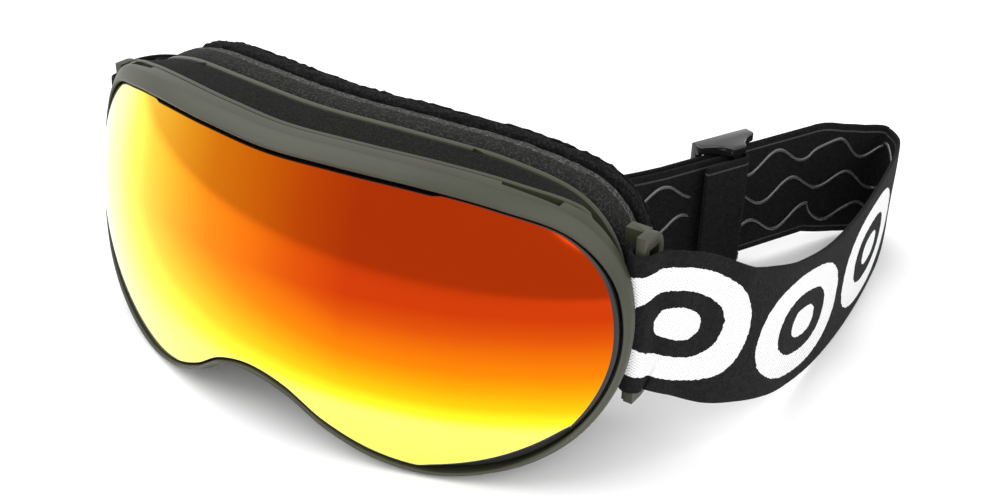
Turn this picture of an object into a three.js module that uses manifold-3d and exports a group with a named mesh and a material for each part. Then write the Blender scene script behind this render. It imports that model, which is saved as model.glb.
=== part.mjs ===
// Ski goggles with a wide one-piece lens, layered face foam and an elastic strap.
// Millimetres, +Z up. The wearer looks along -Y, and +X is the wearer's left.
import * as THREE from 'three';
import { mergeVertices } from 'three/addons/utils/BufferGeometryUtils.js';
import Module from 'manifold-3d';

const wasm = await Module();
wasm.setup();

// ---------------------------------------------------------------- driving dimensions

const GAP = 0.3;              // clearance between two pieces that touch

// The lens is a piece of an ellipsoid: half axes and the height of its centre.
const LENS_A = 124;
const LENS_B = 102;
const LENS_C = 113;
const LENS_MID_Z = 29;
const LENS_T = 1.3;           // thickness of the outer lens
const INNER_LENS_T = 0.9;
const LENS_SPACING = 5.0;     // from the outer lens's front to the inner lens's front
const SEAL_GAP = 0.9;         // the seal's clearance to the two faceted lenses
const LENS_INSET = 0.1;       // lens edge inside the opening's outline
const BROW_VENT = 0.6;        // extra inset along the top, for air
const BROW_VENT_HALF = 50;    // half width of that stretch
const CHEEK_VENT = 2.4;       // extra inset at the two lower outer corners

// Half outline of the lens opening, from the brow's centre to the nose, as (x, z).
const LENS_OUTLINE = [
  [0, 82.3], [22, 82.5], [45, 81.3], [63, 78.3], [78.5, 73], [88.5, 62.5], [93, 47], [91.6, 33],
  [84, 18.5], [70, 7.4], [53, 2.6], [38, 4.6], [24, 11], [12, 19], [0, 21.8],
];
// Half outline of the face opening's foot, where the foam is glued on.
const FACE_OUTLINE = [
  [0, 84], [30, 83.7], [56, 80.5], [73, 73], [81, 58.5], [80.5, 40.5], [73, 23.5],
  [60, 12], [46, 8.5], [33, 12.5], [22, 22.5], [12, 33], [0, 37.5],
];
const RING_STEPS = 64;        // sections round every ring

// Depths behind the lens edge.
const LEDGE_Y = 3.8;
const RIM_BACK = 6.8;         // over the brow and under the cheeks
const RIM_SIDE_BACK = 5.2;    // beside the temples, where the outriggers start
const RIDGE_T = 1.6;
const TEMPLE_POCKET = -5.2;   // the face frame stays this far inside the outline at the temples

// Face side: where the skin lies, and the stack of foams on the rear flange.
const FACE_Y = -49;
const FACE_CURVE = 0.003;     // how fast the face side runs back towards the temples, per mm
const NOSE_PULL = 9;
const CHARCOAL_T = 12;
const BLACK_T = 4;
const FLEECE_T = 1.4;
const FOAM_GAP = 0.75;        // between glued layers whose facets differ
const FOAM_STACK = CHARCOAL_T + BLACK_T + FLEECE_T + 3 * FOAM_GAP;
const FOAM_OUT = 3.4;         // foam outside the face outline
const FOAM_IN = 10.5;         // foam inside the face outline

// Strap.
const STRAP_W = 41;
const STRAP_T = 1.7;
const LAYER_2 = 2.9;          // centre of the doubled-back layer, inside the outer layer
const SWING_Y = -55.4;        // axis that the strap swings on, through both front bars
const SWING_Z = 47.3;
const STUB_GAP = 0.9;         // the cut edges are chords, so they need more than GAP to turn past
const STUB_R = 30;            // the sewn ends keep within this distance of that axis

// Outriggers: a flat loop each side, with the strap round its front bar.
const LOOP_X = 92.5;
const LOOP_T = 2.6;
const LOOP_FRONT = -56.7;
const LOOP_BACK = -46.5;
const LOOP_LOW = 22.4;
const LOOP_HIGH = 72;
const LOOP_BAR = 2.6;
const LOOP_ARM = 4.2;
const UPPER_LUG_IN = 86;      // how far in the two lugs reach, to the frame's side
const LOWER_LUG_IN = 90.4;

// Slider: how far along the strap's straight stretch it sits, and its own size.
const SLIDER_AT = [64.3, 54];
const SLIDER_DIR = new THREE.Vector3(24.4, 56, 0).normalize();
const SLIDER_MID_Z = 25.6;
const SLIDER_L = 23;
const SLIDER_BAR = 3;
const RAIL_T = 3.2;
const CENTRE_BAR = [4.0, 6.5];    // inner and outer face of the bar that the tail is sewn to
const SIDE_BAR = [-4.0, -1.2];    // the two outer bars, on the strap's printed side
const TAIL_BACK = 14;             // length of the sewn tail

// The whole part sits with the middle of its footprint on the origin.
const FOOTPRINT_MID = [6.48, 6.2];

// Places along the straight stretch that the slider travels on.
const SLIDER_RUN = [-27, -24, -8, 8, 24, 38, 41].map((along) => [
  SLIDER_AT[0] + along * SLIDER_DIR.x, SLIDER_AT[1] + along * SLIDER_DIR.y, SLIDER_MID_Z,
]);

// Centre line of the strap's outer layer, from the left bar round to the right bar.
const BAR_CLEAR = 0.8;         // between the flat bar and the strap that bends round it
const STRAP_OUTSIDE = LOOP_X + LOOP_T / 2 + BAR_CLEAR + STRAP_T / 2;
const STRAP_PATH = [
  [-STRAP_OUTSIDE, SWING_Y, SWING_Z], [-96, -53, 47.2], [-98.8, -49, 47], [-101, -43, 46.5], [-99.7, -34, 45.5],
  [-93, -25.5, 44], [-82, -17.5, 42], [-62, -9.5, 39], [-40, -5, 36], [-6, -1, 31], [28, 4, 27.5],
  [42, 11, 26], ...SLIDER_RUN, [84, 97.5, 24], [89, 106, 22], [96, 114, 20.7],
  [103, 108, 20.7], [106.5, 97, 20.7], [109.5, 80, 20.7], [112, 60, 20.7], [113.5, 40, 20.7],
  [114, 22, 21.5], [114, 5, 24.5], [113.5, -8, 28], [111.5, -20, 32], [108, -31, 36],
  [103, -40.5, 41.5], [99, -48, 45.8],
  [96.2, -52.4, 47], [STRAP_OUTSIDE, SWING_Y, SWING_Z],
];

// ---------------------------------------------------------------- finishes

const finish = (color, roughness, metalness) => () =>
  new THREE.MeshStandardMaterial({ color, roughness, metalness });

const oliveFrame = finish(0x4b4c38, 0.55, 0);
const mirrorCoat = finish(0xe06a10, 0.12, 0.9);
const clearLens = finish(0x6e5a48, 0.1, 0);
const blackRubber = finish(0x111111, 0.7, 0);
const ventFoam = finish(0x17170f, 0.95, 0);
const charcoalFoam = finish(0x3c3c3e, 0.95, 0);
const blackFoam = finish(0x151516, 0.95, 0);
const fleece = finish(0x0b0b0c, 1, 0);
const elastic = finish(0x18181a, 0.85, 0);
const silicone = finish(0x2a2a2c, 0.35, 0);
const glossBlack = finish(0x0a0a0b, 0.25, 0);

// ---------------------------------------------------------------- general helpers

const goggles = new THREE.Group();
goggles.name = 'ski_goggles';
goggles.position.set(-FOOTPRINT_MID[0], -FOOTPRINT_MID[1], 0);

function addPiece(name, geometry, material) {
  const mesh = new THREE.Mesh(geometry, material());
  mesh.name = name;
  goggles.add(mesh);
}

function fromTriangles(corners, faces) {
  const geometry = new THREE.BufferGeometry();
  const flat = corners.flatMap((p) => [p.x, p.y, p.z]);
  geometry.setAttribute('position', new THREE.Float32BufferAttribute(flat, 3));
  geometry.setIndex(faces.flat());
  return geometry;
}

// A surface's signed volume is negative where its faces point inwards: then they are turned.
function facingOut(corners, faces) {
  let volume = 0;
  for (const [a, b, c] of faces) {
    volume += corners[a].dot(corners[b].clone().cross(corners[c]));
  }
  const turned = volume < 0 ? faces.map(([a, b, c]) => [a, c, b]) : faces;
  return fromTriangles(corners, turned);
}

// Joins sections of equal corner counts. A closed loft is a ring, an open one gets end caps.
function loft(sections, closed) {
  const count = sections[0].length;
  const corners = sections.flat();
  const faces = [];
  const spans = closed ? sections.length : sections.length - 1;
  for (let s = 0; s < spans; s += 1) {
    const here = s * count;
    const next = ((s + 1) % sections.length) * count;
    for (let k = 0; k < count; k += 1) {
      const k2 = (k + 1) % count;
      faces.push([here + k, here + k2, next + k2], [here + k, next + k2, next + k]);
    }
  }
  if (!closed) {
    const last = (sections.length - 1) * count;
    for (let k = 1; k < count - 1; k += 1) {
      faces.push([0, k + 1, k], [last, last + k, last + k + 1]);
    }
  }
  return facingOut(corners, faces);
}

// A solid between two grids of points of the same size, closed along all four edges.
function slab(front, back) {
  const rows = front.length;
  const cols = front[0].length;
  const corners = [...front.flat(), ...back.flat()];
  const faces = [];
  const half = rows * cols;
  const quad = (a, b, c, d) => faces.push([a, b, c], [a, c, d]);
  for (let r = 0; r < rows - 1; r += 1) {
    for (let c = 0; c < cols - 1; c += 1) {
      const a = r * cols + c;
      quad(a, a + 1, a + cols + 1, a + cols);
      quad(half + a, half + a + cols, half + a + cols + 1, half + a + 1);
    }
  }
  for (let r = 0; r < rows - 1; r += 1) {
    const a = r * cols;
    const b = a + cols - 1;
    quad(a, a + cols, half + a + cols, half + a);
    quad(b, half + b, half + b + cols, b + cols);
  }
  for (let c = 0; c < cols - 1; c += 1) {
    const b = (rows - 1) * cols + c;
    quad(c, half + c, half + c + 1, c + 1);
    quad(b, b + 1, half + b + 1, half + b);
  }
  return facingOut(corners, faces);
}

function toSolid(geometry) {
  const plain = geometry.clone();
  plain.deleteAttribute('normal');
  plain.deleteAttribute('uv');
  const merged = mergeVertices(plain, 1e-4);
  return new wasm.Manifold(new wasm.Mesh({
    numProp: 3,
    vertProperties: new Float32Array(merged.attributes.position.array),
    triVerts: new Uint32Array(merged.index.array),
  }));
}

function toGeometry(solid) {
  const mesh = solid.getMesh();
  const geometry = new THREE.BufferGeometry();
  geometry.setAttribute('position', new THREE.BufferAttribute(mesh.vertProperties, 3));
  geometry.setIndex(new THREE.BufferAttribute(mesh.triVerts, 1));
  return geometry;
}

function boxBetween(low, high) {
  const size = high.map((value, k) => value - low[k]);
  const middle = high.map((value, k) => (value + low[k]) / 2);
  return new THREE.BoxGeometry(...size).translate(...middle);
}

// 0 at the first edge and 1 at the second, whichever of the two is the larger.
function smooth(edge0, edge1, value) {
  const rising = THREE.MathUtils.smoothstep(value, Math.min(edge0, edge1), Math.max(edge0, edge1));
  return edge0 < edge1 ? rising : 1 - rising;
}

// ---------------------------------------------------------------- outlines

const lensY = (x, z, deeper = 0) => {
  const inside = 1 - (x / (LENS_A - deeper)) ** 2 - ((z - LENS_MID_Z) / (LENS_C - deeper)) ** 2;
  return -(LENS_B - deeper) * Math.sqrt(inside);
};

function faceY(x, z) {
  const nose = Math.exp(-((x / 19) ** 2)) * smooth(62, 38, z);
  return FACE_Y + FACE_CURVE * x * x - NOSE_PULL * nose;
}

// A smooth closed outline through a half outline and its mirror image, evenly stepped.
// Each step gives the point and the outward normal in the front view.
function closedOutline(halfOutline) {
  const mirrored = halfOutline.slice(1, -1).reverse().map(([x, z]) => [-x, z]);
  const points = [...halfOutline, ...mirrored].map(([x, z]) => new THREE.Vector3(x, 0, z));
  const curve = new THREE.CatmullRomCurve3(points, true, 'centripetal');
  curve.arcLengthDivisions = 600;
  const steps = [];
  for (let k = 0; k < RING_STEPS; k += 1) {
    const p = curve.getPointAt(k / RING_STEPS);
    const t = curve.getTangentAt(k / RING_STEPS);
    steps.push({ x: p.x, z: p.z, nx: -t.z, nz: t.x });
  }
  const clockwise = steps[1].x > 0;
  return steps.map((s) => (clockwise ? s : { ...s, nx: -s.nx, nz: -s.nz }));
}

const lensRing = closedOutline(LENS_OUTLINE);
const faceRing = closedOutline(FACE_OUTLINE);

const at = (step, out, y) => new THREE.Vector3(step.x + step.nx * out, y, step.z + step.nz * out);
const edgeY = (step) => lensY(step.x, step.z);

// The rim is widest over the brow and narrow round the nose and cheeks.
function rimWidth(step) {
  const up = Math.max(0, step.nz);
  return 3.1 + 1.6 * up - 1.4 * step.nx ** 4;
}

const rimBack = (step) => THREE.MathUtils.lerp(RIM_BACK, RIM_SIDE_BACK, templeSide(step));

// 1 beside the temples, 0 over the brow and along the cheeks.
function templeSide(step) {
  return Math.abs(step.x) > 60 ? smooth(0.45, 0.85, Math.abs(step.nx)) : 0;
}

function browStretch(x, z) {
  const along = smooth(BROW_VENT_HALF, BROW_VENT_HALF - 3, Math.abs(x));
  return z > 60 ? along : 0;
}

function cheekStretch(x, z) {
  const along = Math.sin(Math.PI * THREE.MathUtils.clamp((Math.abs(x) - 50) / 36, 0, 1));
  return z < 30 ? Math.sqrt(along) : 0;
}

// ---------------------------------------------------------------- lens set

function lensEdgeInset(step) {
  const brow = BROW_VENT * browStretch(step.x, step.z);
  const cheek = CHEEK_VENT * cheekStretch(step.x, step.z);
  return LENS_INSET + brow + cheek;
}

// A curved sheet: rings of points from its middle to its edge, front and back.
function lensSheet(frontDeeper, thickness, insetOf, rings) {
  const middle = new THREE.Vector2(0, 52);
  const corners = [];
  const sides = [frontDeeper, frontDeeper + thickness];
  for (const deeper of sides) {
    corners.push(new THREE.Vector3(middle.x, lensY(middle.x, middle.y, deeper), middle.y));
    for (let r = 1; r <= rings; r += 1) {
      for (const step of lensRing) {
        const edge = at(step, -insetOf(step), 0);
        const x = THREE.MathUtils.lerp(middle.x, edge.x, r / rings);
        const z = THREE.MathUtils.lerp(middle.y, edge.z, r / rings);
        corners.push(new THREE.Vector3(x, lensY(x, z, deeper), z));
      }
    }
  }
  const n = lensRing.length;
  const half = 1 + rings * n;
  const faces = [];
  for (let k = 0; k < n; k += 1) {
    const k2 = (k + 1) % n;
    faces.push([0, 1 + k, 1 + k2], [half, half + 1 + k2, half + 1 + k]);
    for (let r = 1; r < rings; r += 1) {
      const a = 1 + (r - 1) * n + k;
      const b = 1 + (r - 1) * n + k2;
      faces.push([a, a + n, b + n], [a, b + n, b]);
      faces.push([half + a, half + b + n, half + a + n], [half + a, half + b, half + b + n]);
    }
    const e = 1 + (rings - 1) * n + k;
    const e2 = 1 + (rings - 1) * n + k2;
    faces.push([e, half + e, half + e2], [e, half + e2, e2]);
  }
  return facingOut(corners, faces);
}

function outerLens() {
  return lensSheet(0, LENS_T, lensEdgeInset, 6);
}

function innerLens() {
  return lensSheet(LENS_SPACING, INNER_LENS_T, () => 7, 6);
}

// The foam rope that holds the two lenses apart and seals the air between them.
function lensSeal() {
  const sections = lensRing.map((step) => {
    const ring = (out, deeper) => {
      const p = at(step, out, 0);
      return new THREE.Vector3(p.x, lensY(p.x, p.z, deeper), p.z);
    };
    const front = LENS_T + SEAL_GAP;
    const back = LENS_SPACING - SEAL_GAP;
    return [ring(-7.2, front), ring(-9.8, front), ring(-9.8, back), ring(-7.2, back)];
  });
  return loft(sections, true);
}

// ---------------------------------------------------------------- frame

// Soft gasket on the frame's ledge, which the lens edge presses on.
function lensGasket() {
  const sections = lensRing.map((step) => {
    const y = edgeY(step);
    const front = y + LENS_T + 1.3;
    const back = y + LEDGE_Y - GAP;
    return [at(step, 0.2, front), at(step, 0.2, back), at(step, -2.9, back), at(step, -2.9, front + 0.2)];
  });
  return loft(sections, true);
}

function rimSection(step) {
  const y = edgeY(step);
  const w = rimWidth(step);
  const back = y + rimBack(step);
  const setBack = step.nx ** 4;
  const lip = Math.min(1.3, w / 2);
  const wall = Math.min(1.4, w - 1.2);
  return [
    at(step, 0.5, y - 0.7 + 1.9 * setBack), at(step, lip, y - 1.3 + 2.3 * setBack),
    at(step, Math.max(lip + 0.2, w - 1.5), y + 0.5 + 1.3 * setBack), at(step, w, y + 2.6 + 0.4 * setBack),
    at(step, w, back), at(step, wall, back), at(step, wall, y + LEDGE_Y + 1.2),
    at(step, -3.2, y + LEDGE_Y + 1.2), at(step, -3.2, y + LEDGE_Y), at(step, 0.5, y + LEDGE_Y),
  ];
}

// The front frame: a continuous rim with two long slots cut in its upper back edge and a
// small flat under each cheek, on which the goggles stand.
function frontFrame() {
  let rim = toSolid(loft(lensRing.map(rimSection), true));
  for (const side of [-1, 1]) {
    const slot = new THREE.Shape();
    slot.moveTo(56, -8);
    slot.lineTo(77, -8);
    slot.lineTo(73.5, 3.4);
    slot.lineTo(59, 3.4);
    slot.closePath();
    const cutter = new THREE.ExtrudeGeometry(slot, { depth: 9, bevelEnabled: false });
    const middle = 66;
    cutter.translate(-middle, 0, 0);
    cutter.scale(1, -1, 1);
    const tool = cutter.rotateY(0.27).rotateZ(0.33);
    tool.translate(middle, lensY(middle, 79.5) + RIM_BACK, 79.2);
    const mirrored = side < 0 ? tool.clone().scale(-1, 1, 1) : tool;
    rim = rim.subtract(toSolid(turnedOut(mirrored)));
  }
  const floor = boxBetween([-100, -120, -10], [100, 0, 0]);
  return toGeometry(rim.subtract(toSolid(floor)));
}

// Scaling by a negative number turns a surface inside out: this turns it back.
function turnedOut(geometry) {
  const plain = geometry.clone();
  plain.deleteAttribute('normal');
  plain.deleteAttribute('uv');
  const merged = mergeVertices(plain, 1e-4);
  const position = merged.attributes.position;
  const corners = [];
  for (let k = 0; k < position.count; k += 1) {
    corners.push(new THREE.Vector3().fromBufferAttribute(position, k));
  }
  const index = [...merged.index.array];
  const faces = [];
  for (let k = 0; k < index.length; k += 3) {
    faces.push(index.slice(k, k + 3));
  }
  return facingOut(corners, faces);
}

const flangeY = (step) => faceY(step.x, step.z) - FOAM_STACK;

const ridgeOut = (step) => THREE.MathUtils.lerp(rimWidth(step) - 0.2, TEMPLE_POCKET, templeSide(step));
const channelFloor = (step) => Math.min(1.8, ridgeOut(step) - 1.7);

// The face frame: a ridge behind the rim, a thin wall that narrows to the face, and a flange.
function faceFrameSection(step, k) {
  const face = faceRing[k];
  const y = edgeY(step) + rimBack(step) + GAP;
  const back = flangeY(face);
  const ridge = ridgeOut(step);
  const floor = channelFloor(step);
  return [
    at(step, ridge, y), at(step, ridge, y + RIDGE_T), at(step, floor, y + RIDGE_T + 0.4),
    at(face, 0.6, back - 2.2), at(face, 3.6, back - 1.8), at(face, 3.6, back),
    at(face, -4.2, back), at(step, Math.min(-2.4, ridge - 2.6), y),
  ];
}

// Windows through the wall let air pass from the vent foam to the inside.
function faceFrame() {
  let frame = toSolid(loft(lensRing.map(faceFrameSection), true));
  for (const x of [-54, -32, -11, 11, 32, 54]) {
    const y = lensY(x, 82) + RIM_BACK + RIDGE_T;
    const back = faceY(x, 82) - FOAM_STACK - 3.4;
    const window = boxBetween([x - 7.5, y + 3.4, 66], [x + 7.5, back, 96]);
    frame = frame.subtract(toSolid(window));
  }
  for (const x of [-58, -42, 42, 58]) {
    const y = lensY(x, 10) + RIM_BACK + RIDGE_T;
    const window = boxBetween([x - 5, y + 5, -4], [x + 5, y + 17, 24]);
    frame = frame.subtract(toSolid(window));
  }
  const floor = boxBetween([-100, -120, -10], [100, 0, GAP]);
  return toGeometry(frame.subtract(toSolid(floor)));
}

// Open-cell foam in the channel between ridge and flange, over the steps first..last.
function ventFoamStrip(first, last) {
  const sections = [];
  for (let s = first; s <= last; s += 1) {
    const k = (s + RING_STEPS) % RING_STEPS;
    const step = lensRing[k];
    const face = faceRing[k];
    const front = edgeY(step) + rimBack(step) + RIDGE_T + 0.4 + 3 * GAP;
    const back = flangeY(face) - 2.2 - 2 * GAP;
    const inner = channelFloor(step) + 0.7;
    const outer = Math.max(inner + 0.7, ridgeOut(step) - 1);
    sections.push([
      at(step, inner, front + 0.2), at(step, outer, front), at(face, 3.6, back), at(face, 1.6, back),
    ]);
  }
  return loft(sections, false);
}

// ---------------------------------------------------------------- foams on the face side

// One layer of the face foam, from one depth behind the flange to the next.
function foamLayer(from, to, out, into) {
  const sections = faceRing.map((step) => {
    const front = flangeY(step) + FOAM_GAP + from;
    const back = flangeY(step) + FOAM_GAP + to;
    const narrow = 1 - 0.3 * Math.exp(-((step.x / 16) ** 2)) * smooth(62, 40, step.z);
    const edge = 1.2;
    return [
      at(step, out, front), at(step, out, back - edge), at(step, out - edge, back),
      at(step, -into * narrow + edge, back), at(step, -into * narrow, back - edge),
      at(step, -into * narrow, front),
    ];
  });
  return loft(sections, true);
}

// ---------------------------------------------------------------- strap

const strapCurve = new THREE.CatmullRomCurve3(
  STRAP_PATH.map((p) => new THREE.Vector3(...p)), false, 'centripetal',
);
strapCurve.arcLengthDivisions = 1200;
const STRAP_LENGTH = strapCurve.getLength();

// Place on the strap: s along it, across its width (up positive), in towards the loop's inside.
function onStrap(s, across, inward) {
  const u = THREE.MathUtils.clamp(s / STRAP_LENGTH, 0, 1);
  const p = strapCurve.getPointAt(u);
  const t = strapCurve.getTangentAt(u);
  const inside = new THREE.Vector3(t.y, -t.x, 0).normalize();
  const up = inside.clone().cross(t);
  return p.addScaledVector(up, across).addScaledVector(inside, inward);
}

// How far along the strap a plan point lies.
function strapAt(x, y) {
  let best = 0;
  let bestGap = Infinity;
  for (let s = 0; s <= STRAP_LENGTH; s += 0.5) {
    const p = onStrap(s, 0, 0);
    const gap = Math.hypot(p.x - x, p.y - y);
    if (gap < bestGap) {
      bestGap = gap;
      best = s;
    }
  }
  return best;
}

const SLIDER_S = strapAt(...SLIDER_AT);

// Where the strap, at one height of its width, crosses a circle about the swing axis.
function crossing(radius, across, inward, fromEnd) {
  for (let d = 0; d < 90; d += 0.1) {
    const s = fromEnd ? STRAP_LENGTH - d : d;
    const p = onStrap(s, across, inward);
    if (Math.hypot(p.y - SWING_Y, p.z - SWING_Z) >= radius && p.y > SWING_Y) {
      return s;
    }
  }
  throw new Error('the strap never reaches that distance');
}

const WIDTH_STEPS = 4;
const acrossAt = (c, width = STRAP_W) => -width / 2 + (width * c) / WIDTH_STEPS;

// A ribbon between two places that may differ across its width.
function ribbon(startOf, endOf, inward, stations) {
  const side = (shift) => {
    const grid = [];
    for (let r = 0; r <= stations; r += 1) {
      const row = [];
      for (let c = 0; c <= WIDTH_STEPS; c += 1) {
        const across = acrossAt(c);
        const s = THREE.MathUtils.lerp(startOf(across, shift), endOf(across, shift), r / stations);
        row.push(onStrap(s, across, inward + shift));
      }
      grid.push(row);
    }
    return grid;
  };
  return slab(side(-STRAP_T / 2), side(STRAP_T / 2));
}

function strapMain() {
  const start = (across, shift) => crossing(STUB_R + STUB_GAP, across, shift, false);
  const end = (across, shift) => crossing(STUB_R + STUB_GAP, across, shift, true);
  return ribbon(start, end, 0, 152);
}

const INNER_END_S = SLIDER_S - TAIL_BACK - 1;

function strapInnerLayer() {
  const start = (across, shift) => crossing(STUB_R + STUB_GAP, across, LAYER_2 + shift, false);
  return ribbon(start, () => INNER_END_S, LAYER_2, 46);
}

// A sewn end: from the loop's outside, round the front bar and back on its inside.
// The inside leg is either short and flat, or follows the strap to the same distance.
function strapEnd(fromEnd, insideLength) {
  const rows = [];
  const barX = fromEnd ? LOOP_X : -LOOP_X;
  const sign = fromEnd ? 1 : -1;
  const reach = STRAP_OUTSIDE - LOOP_X;
  const steps = 12;
  const turns = 8;
  const push = (place) => {
    const row = [];
    for (let c = 0; c <= WIDTH_STEPS; c += 1) {
      row.push(place(acrossAt(c)));
    }
    rows.push(row);
  };
  const bend = { y: STRAP_PATH[0][1], z: STRAP_PATH[0][2] };
  const legStart = 0.05;
  for (const shift of [-STRAP_T / 2, STRAP_T / 2]) {
    for (let r = steps; r >= 0; r -= 1) {
      push((across) => {
        const far = crossing(STUB_R, across, shift, fromEnd);
        const near = fromEnd ? STRAP_LENGTH - legStart : legStart;
        return onStrap(THREE.MathUtils.lerp(near, far, r / steps), across, shift);
      });
    }
    for (let r = 1; r < turns; r += 1) {
      const angle = (Math.PI * r) / turns;
      const radius = reach - shift;
      push((across) => new THREE.Vector3(
        barX + sign * radius * Math.cos(angle), bend.y - radius * Math.sin(angle), bend.z + across,
      ));
    }
    for (let r = 0; r <= steps; r += 1) {
      push((across) => {
        const inX = barX - sign * (reach - shift);
        const flat = new THREE.Vector3(inX, bend.y + (insideLength * r) / steps, bend.z + across);
        if (fromEnd) {
          return flat;
        }
        const far = crossing(STUB_R, across, LAYER_2 - shift, false);
        const p = onStrap(THREE.MathUtils.lerp(legStart, far, r / steps), across, LAYER_2 - shift);
        const settle = smooth(0, 1, (p.y - LOOP_BACK - 1) / 8);
        p.x = THREE.MathUtils.lerp(inX, p.x, settle);
        return p;
      });
    }
  }
  const half = rows.length / 2;
  return slab(rows.slice(0, half), rows.slice(half));
}

// Silicone lines printed on the strap's inside, each a wave along the strap.
function gripLine(from, to, inward, height, phase) {
  const wave = 25;
  const swing = 3.2;
  const width = 1.0;
  const thickness = 0.3;
  const stations = Math.round((to - from) / (wave / 7));
  const sections = [];
  for (let r = 0; r <= stations; r += 1) {
    const s = from + ((to - from) * r) / stations;
    const middle = height + swing * Math.sin((2 * Math.PI * s) / wave + phase);
    sections.push([
      onStrap(s, middle - width / 2, inward), onStrap(s, middle + width / 2, inward),
      onStrap(s, middle + width / 2, inward + thickness), onStrap(s, middle - width / 2, inward + thickness),
    ]);
  }
  return loft(sections, false);
}

// ---------------------------------------------------------------- outriggers and slider

function outrigger(side) {
  const outline = new THREE.Shape();
  const corner = 6;
  outline.moveTo(LOOP_FRONT, LOOP_LOW);
  outline.lineTo(LOOP_BACK - corner, LOOP_LOW);
  outline.absarc(LOOP_BACK - corner, LOOP_LOW + corner, corner, -Math.PI / 2, 0, false);
  outline.lineTo(LOOP_BACK, LOOP_HIGH - corner);
  outline.absarc(LOOP_BACK - corner, LOOP_HIGH - corner, corner, 0, Math.PI / 2, false);
  outline.lineTo(LOOP_FRONT, LOOP_HIGH);
  outline.closePath();
  const slot = new THREE.Path();
  slot.moveTo(LOOP_FRONT + LOOP_BAR, LOOP_LOW + LOOP_ARM);
  slot.lineTo(LOOP_FRONT + LOOP_BAR, LOOP_HIGH - LOOP_ARM);
  slot.lineTo(LOOP_BACK - LOOP_BAR, LOOP_HIGH - LOOP_ARM);
  slot.lineTo(LOOP_BACK - LOOP_BAR, LOOP_LOW + LOOP_ARM);
  slot.closePath();
  outline.holes.push(slot);
  const plate = new THREE.ExtrudeGeometry(outline, { depth: LOOP_T, bevelEnabled: false, curveSegments: 5 });
  plate.rotateX(Math.PI / 2).rotateZ(Math.PI / 2);
  plate.translate(LOOP_X - LOOP_T / 2, 0, 0);
  let loop = toSolid(turnedOut(plate));
  const lugOut = LOOP_X - LOOP_T / 2 + 0.6;
  const lugs = [
    [[UPPER_LUG_IN, LOOP_FRONT + 3.6, LOOP_HIGH - LOOP_ARM + 0.2], [lugOut, LOOP_BACK - 3, LOOP_HIGH - 0.2]],
    [[LOWER_LUG_IN, LOOP_FRONT + 0.4, LOOP_LOW + 0.2], [lugOut, LOOP_BACK - 3, LOOP_LOW + LOOP_ARM - 0.4]],
  ];
  for (const [low, high] of lugs) {
    loop = loop.add(toSolid(boxBetween(low, high)));
  }
  const geometry = toGeometry(loop);
  return side > 0 ? geometry : turnedOut(geometry.scale(-1, 1, 1));
}

// Built along X with the printed side towards -Y, then turned onto the strap.
function slider() {
  const half = SLIDER_L / 2;
  const low = SLIDER_MID_Z - STRAP_W / 2 - GAP;
  const high = SLIDER_MID_Z + STRAP_W / 2 + GAP;
  const rail = new THREE.Shape();
  rail.moveTo(-half, SIDE_BAR[0]);
  rail.lineTo(half, SIDE_BAR[0]);
  rail.lineTo(half, SIDE_BAR[1] + 1.4);
  rail.quadraticCurveTo(half * 0.45, 1.4, SLIDER_BAR * 0.9, CENTRE_BAR[1]);
  rail.lineTo(-SLIDER_BAR * 0.9, CENTRE_BAR[1]);
  rail.quadraticCurveTo(-half * 0.45, 1.4, -half, SIDE_BAR[1] + 1.4);
  rail.closePath();
  const railAt = (z) => {
    const shape = new THREE.ExtrudeGeometry(rail, { depth: RAIL_T, bevelEnabled: false, curveSegments: 6 });
    return toSolid(shape.translate(0, 0, z));
  };
  const bar = (from, to, depth) => toSolid(boxBetween([from, depth[0], low - 1], [to, depth[1], high + 1]));
  let body = railAt(low - RAIL_T).add(railAt(high));
  body = body.add(bar(-SLIDER_BAR / 2, SLIDER_BAR / 2, CENTRE_BAR));
  body = body.add(bar(-half, -half + SLIDER_BAR, SIDE_BAR));
  body = body.add(bar(half - SLIDER_BAR, half, SIDE_BAR));
  return ontoStrap(toGeometry(body));
}

// Turns a piece built along X, with +Y towards the loop's inside, onto the straight stretch.
function ontoStrap(geometry) {
  const inside = new THREE.Vector3(SLIDER_DIR.y, -SLIDER_DIR.x, 0);
  const place = new THREE.Matrix4().makeBasis(SLIDER_DIR, inside, new THREE.Vector3(0, 0, 1));
  place.setPosition(onStrap(SLIDER_S, 0, 0).setZ(0));
  return turnedOut(geometry.applyMatrix4(place));
}

// The end of the doubled-back layer, sewn round the slider's centre bar.
function sliderTail() {
  const rows = [];
  const middle = (CENTRE_BAR[0] + CENTRE_BAR[1]) / 2;
  const reach = (CENTRE_BAR[1] - CENTRE_BAR[0]) / 2 + GAP + STRAP_T / 2;
  const start = SLIDER_BAR / 2;
  for (const shift of [-STRAP_T / 2, STRAP_T / 2]) {
    const radius = reach + shift;
    const places = [[-TAIL_BACK, middle - radius], [start, middle - radius]];
    for (let r = 1; r < 8; r += 1) {
      const angle = (Math.PI * r) / 8;
      places.push([start + radius * Math.sin(angle), middle - radius * Math.cos(angle)]);
    }
    places.push([start, middle + radius], [-TAIL_BACK, middle + radius]);
    for (const [x, y] of places) {
      rows.push([-1, 1].map((up) => new THREE.Vector3(x, y, SLIDER_MID_Z + (up * STRAP_W) / 2)));
    }
  }
  const half = rows.length / 2;
  return ontoStrap(slab(rows.slice(0, half), rows.slice(half)));
}

// ---------------------------------------------------------------- assembly

addPiece('outer_lens', outerLens(), mirrorCoat);
addPiece('inner_lens', innerLens(), clearLens);
addPiece('lens_seal', lensSeal(), blackFoam);
addPiece('lens_gasket', lensGasket(), blackRubber);
addPiece('front_frame', frontFrame(), oliveFrame);
addPiece('face_frame', faceFrame(), oliveFrame);

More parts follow.
